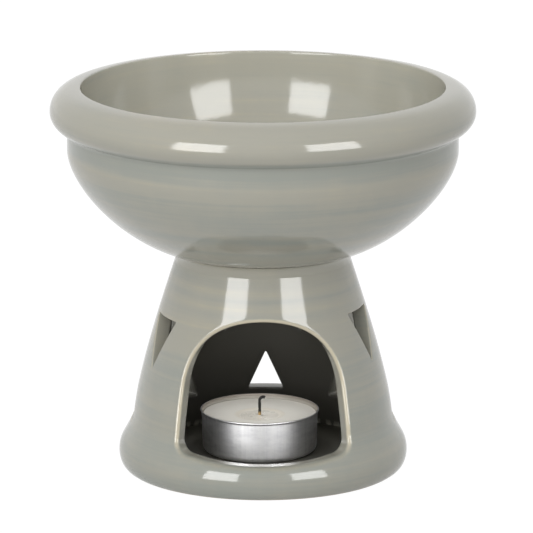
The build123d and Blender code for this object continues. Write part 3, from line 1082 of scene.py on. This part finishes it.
def makeTab(look):
    base, half = cupLook["wall"], look["thickness"] / 2
    outline = joined(
        straight((0, base), (tabRadius, base), 8),
        arc((tabRadius - half, base + half), half, -90, 90, 6),
        straight((tabRadius - half, tabTop), (neckOutside + 0.3, tabTop), 8),
        bezier([(neckOutside + 0.3, tabTop), (neckOutside, tabTop), (neckOutside, tabTop + 0.3)], 4),
        straight((neckOutside, tabTop + 0.3), (neckOutside, neckTop - 0.2), 6),
        bezier([(neckOutside, neckTop - 0.2), (neckOutside, neckTop), (neckBore, neckTop)], 5),
        straights([(neckBore, neckTop), (neckBore, tabTop), (0, tabTop)], (6, 2)),
    )
    return turnedCandlePiece("wickTab", outline, makeTin(), {"Segments": 64})


def makeWick(look):
    bend = waxMiddle + look["stem"]
    stem = straight((0, tabTop), (0, bend), 40)
    hook = arc((look["hook"], bend), look["hook"], 180, 180 - look["hookAngle"], 24)
    line = outlineObject("wick line", joined(stem, hook), candleAxis)
    values = {"Radius": look["radius"] * mm, "Strands": look["strands"], "Twists": look["twists"],
              "Strand Depth": look["strandDepth"] * mm, "Material": makeWickFinish()}
    return settle(line, wickTree, values, "braidedWick")


finishPiece(makeCup(cupLook), "cup", "cup_foil", "candle_cup")
finishPiece(makeWax(waxLook), "refill", "wax", "candle_wax")
finishPiece(makeTab(tabLook), "refill", "tab_tin", "wick_tab")
finishPiece(makeWick(wickLook), "refill", "wick", "wick")


# Camera, at the photograph's place and angle
cameraLook = {"place": (1.13, -1532.83, 430.65), "pitch": 13.392, "lens": 330.5, "sensor": 36.0, "far": 20.0}


def makeCamera(look):
    data = bpy.data.cameras.new("camera")
    data.lens = look["lens"]
    data.sensor_width = look["sensor"]
    data.clip_end = look["far"]
    camera = placed("camera", data)
    camera.location = [value * mm for value in look["place"]]
    camera.rotation_euler = (radians(90 - look["pitch"]), 0, 0)
    bpy.context.scene.camera = camera


# Studio: two tall light boxes on a pale floor in a white room; angles from the camera's side, towards +X
studioLook = {
    "boxes": [
        {"angle": -32.6, "width": 0.366, "low": -0.01, "high": 0.455, "roll": -1.5, "radiance": 9.3},
        {"angle": 36.2, "width": 0.37, "low": 0.06, "high": 0.47, "roll": 1.5, "radiance": 8.7},
    ],
    "boxDistance": 0.75,
    "fills": [  # soft light without a mirror image: place, size and radiance
        {"place": (-0.32, -0.95, 0.46), "size": 1.0, "radiance": 1.6},
        {"place": (-0.1, -0.3, 1.2), "size": 1.0, "radiance": 0.55},
    ],
    "middle": (0.0, 0.0, 0.06),
    "candleSpot": {"height": 0.064, "power": 0.05, "angle": 54.0, "blend": 0.7, "radius": 0.006},
    "bowlLight": {"place": (0.0, 0.01, 0.134), "aim": (0.0, 0.058, 0.126), "size": (0.07, 0.012),
                  "power": 0.009},
    "roomLight": 0.64,  # what the white room adds to diffuse surfaces
    "floorSize": 4.0,
    "floorWhite": 0.94,  # share of plain white that the camera sees in the floor
    "floorGloss": 0.75,  # and that mirrors see in it
    "floorGlow": 1.06,  # strength of that white
    "floorGrey": 0.68,  # what the floor throws back
}


def addLamp(name, kind, place, turn, hiddenFrom, settings):
    data = bpy.data.lights.new(name, kind)
    for key, value in settings.items():
        setattr(data, key, value)
    lamp = placed(name, data)
    lamp.location = place
    lamp.rotation_euler = turn
    lamp.visible_camera = False
    setattr(lamp, "visible_" + hiddenFrom, False)


def turnedTo(place, target):
    return (Vector(place) - Vector(target)).to_track_quat("Z", "Y").to_euler()


def makeLamps(look):
    for number, box in enumerate(look["boxes"], 1):
        tall = box["high"] - box["low"]
        turn, away = radians(box["angle"]), look["boxDistance"]
        place = (away * sin(turn), -away * cos(turn), box["low"] + tall / 2)
        settings = {"shape": "RECTANGLE", "size": box["width"], "size_y": tall,
                    "energy": box["radiance"] * pi * box["width"] * tall}
        facing = Euler((radians(90), 0, turn)).to_quaternion()
        leaned = (facing @ Quaternion((0, 0, 1), radians(box["roll"]))).to_euler()
        # the boxes only make the highlights, and the lamps below only light the surfaces
        addLamp("light box %d" % number, "AREA", place, leaned, "diffuse", settings)
    for number, fill in enumerate(look["fills"], 1):
        turn = turnedTo(fill["place"], look["middle"])
        settings = {"size": fill["size"], "energy": fill["radiance"] * pi * fill["size"] ** 2}
        addLamp("fill %d" % number, "AREA", fill["place"], turn, "glossy", settings)
    glow = look["bowlLight"]
    wide, tall = glow["size"]
    settings = {"shape": "RECTANGLE", "size": wide, "size_y": tall, "energy": glow["power"]}
    addLamp("bowl light", "AREA", glow["place"], turnedTo(glow["place"], glow["aim"]), "glossy", settings)
    spot = look["candleSpot"]
    place = (candleAxis[0], candleAxis[1], spot["height"])
    settings = {"energy": spot["power"], "spot_size": radians(spot["angle"]),
                "spot_blend": spot["blend"], "shadow_soft_size": spot["radius"]}
    addLamp("candle spot", "SPOT", place, (0, 0, 0), "glossy", settings)


def makeStudio(look):
    world = bpy.data.worlds.new("white room")
    wire = emptied(world)
    path = wire.node("ShaderNodeLightPath", output="Is Camera Ray")
    seen = wire.maths("MAXIMUM", path, wire.maths(
        "MAXIMUM", path.also("Is Glossy Ray"), path.also("Is Transmission Ray")))
    strength = seen * (1 - look["roomLight"]) + look["roomLight"]
    sky = wire.node("ShaderNodeBackground", {"Color": (1, 1, 1, 1), "Strength": strength})
    wire.node("ShaderNodeOutputWorld", {"Surface": sky})
    bpy.context.scene.world = world

    half = look["floorSize"] / 2
    corners = [(-half, -half, 0), (half, -half, 0), (half, half, 0), (-half, half, 0)]
    floor = meshObject("floor", corners, (), [(0, 1, 2, 3)])
    material, wire = newMaterial("pale floor")
    path = wire.node("ShaderNodeLightPath", output="Is Camera Ray")
    matt = wire.node("ShaderNodeBsdfDiffuse", {"Color": (look["floorGrey"],) * 3 + (1,)})
    white = wire.node("ShaderNodeEmission", {"Color": (1, 1, 1, 1), "Strength": look["floorGlow"]})
    seen = wire.maths("MAXIMUM", path * look["floorWhite"], path.also("Is Glossy Ray") * look["floorGloss"])
    both = wire.node("ShaderNodeMixShader", {0: seen, 1: matt, 2: white})
    wire.node("ShaderNodeOutputMaterial", {"Surface": both})
    floor.data.materials.append(material)


makeCamera(cameraLook)
makeLamps(studioLook)
makeStudio(studioLook)
bpy.context.scene.view_settings.view_transform = "Standard"
